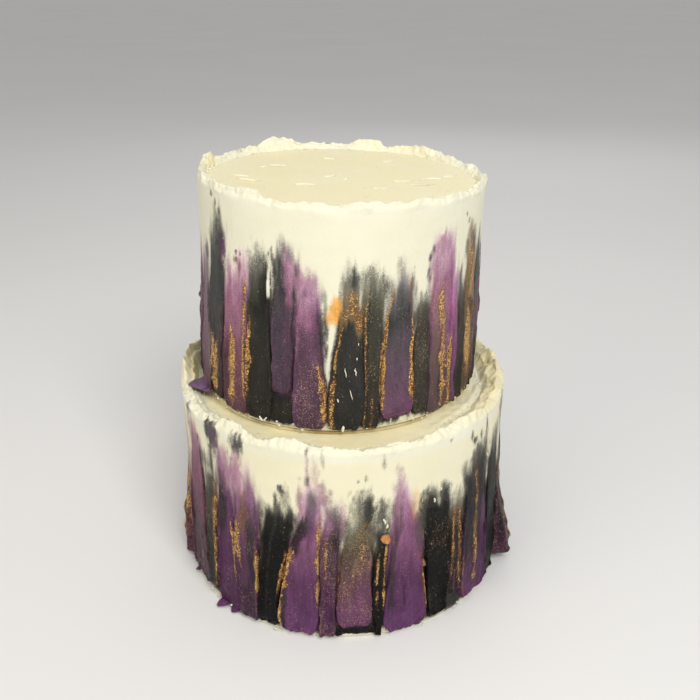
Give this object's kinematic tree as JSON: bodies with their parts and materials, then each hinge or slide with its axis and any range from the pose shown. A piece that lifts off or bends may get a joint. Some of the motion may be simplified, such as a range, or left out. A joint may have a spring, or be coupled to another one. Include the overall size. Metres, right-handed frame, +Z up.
{
  "type": "two-tier watercolour cake",
  "caption": "Uncut frosted cake of a smaller round on a larger one, with ragged rims and upright palette-knife strokes in purple, black and gold round each wall.",
  "frame": {"origin": "on the surface the cake stands on, under the middle of its outer box", "axes": "+Z up, -Y towards the front that the picture shows, +X to the right seen from the front"},
  "size_m": [0.2146, 0.2036, 0.2554],
  "materials": {
    "black_buttercream": "knife-dragged cream, soft satin with fine gold dust",
    "bronze_buttercream": "knife-dragged cream with bronze dust",
    "cake_card": "thin card, satin",
    "copper_buttercream": "knife-dragged cream with copper and gold dust",
    "ivory_buttercream": "smooth scraped frosting, soft satin",
    "olive_buttercream": "knife-dragged cream with gold dust",
    "plum_buttercream": "knife-dragged cream, soft satin with copper dust",
    "purple_buttercream": "knife-dragged cream, soft satin",
    "rose_buttercream": "knife-dragged cream, soft satin"
  },
  "bodies": {
    "root": {"lower_01_copper": "copper_buttercream", "lower_02_plum": "plum_buttercream", "lower_03_rose": "rose_buttercream", "lower_04_olive": "olive_buttercream", "lower_05_rose": "rose_buttercream", "lower_06_plum": "plum_buttercream", "lower_07_black": "black_buttercream", "lower_08_purple": "purple_buttercream", "lower_09_plum": "plum_buttercream", "lower_10_bronze": "bronze_buttercream", "lower_11_black": "black_buttercream", "lower_12_black": "black_buttercream", "lower_13_purple": "purple_buttercream", "lower_14_black": "black_buttercream", "lower_15_copper": "copper_buttercream", "lower_16_purple": "purple_buttercream", "lower_17_black": "black_buttercream", "lower_18_plum": "plum_buttercream", "lower_19_purple": "purple_buttercream", "lower_20_black": "black_buttercream", "lower_21_plum": "plum_buttercream", "lower_22_olive": "olive_buttercream", "lower_23_rose": "rose_buttercream", "lower_24_black": "black_buttercream", "lower_25_purple": "purple_buttercream", "lower_26_copper": "copper_buttercream", "lower_27_bronze": "bronze_buttercream", "lower_28_black": "black_buttercream", "lower_tier": "ivory_buttercream", "tier_card": "cake_card", "upper_01_plum": "plum_buttercream", "upper_02_purple": "purple_buttercream", "upper_03_black": "black_buttercream", "upper_04_rose": "rose_buttercream", "upper_05_black": "black_buttercream", "upper_06_purple": "purple_buttercream", "upper_07_black": "black_buttercream", "upper_08_purple": "purple_buttercream", "upper_09_black": "black_buttercream", "upper_10_olive": "olive_buttercream", "upper_11_bronze": "bronze_buttercream", "upper_12_olive": "olive_buttercream", "upper_13_rose": "rose_buttercream", "upper_14_rose": "rose_buttercream", "upper_15_black": "black_buttercream", "upper_16_copper": "copper_buttercream", "upper_17_plum": "plum_buttercream", "upper_18_purple": "purple_buttercream", "upper_19_black": "black_buttercream", "upper_20_plum": "plum_buttercream", "upper_21_olive": "olive_buttercream", "upper_22_rose": "rose_buttercream", "upper_23_black": "black_buttercream", "upper_24_purple": "purple_buttercream", "upper_25_copper": "copper_buttercream", "upper_26_bronze": "bronze_buttercream", "upper_27_black": "black_buttercream", "upper_tier": "ivory_buttercream"}
  },
  "joints": []
}
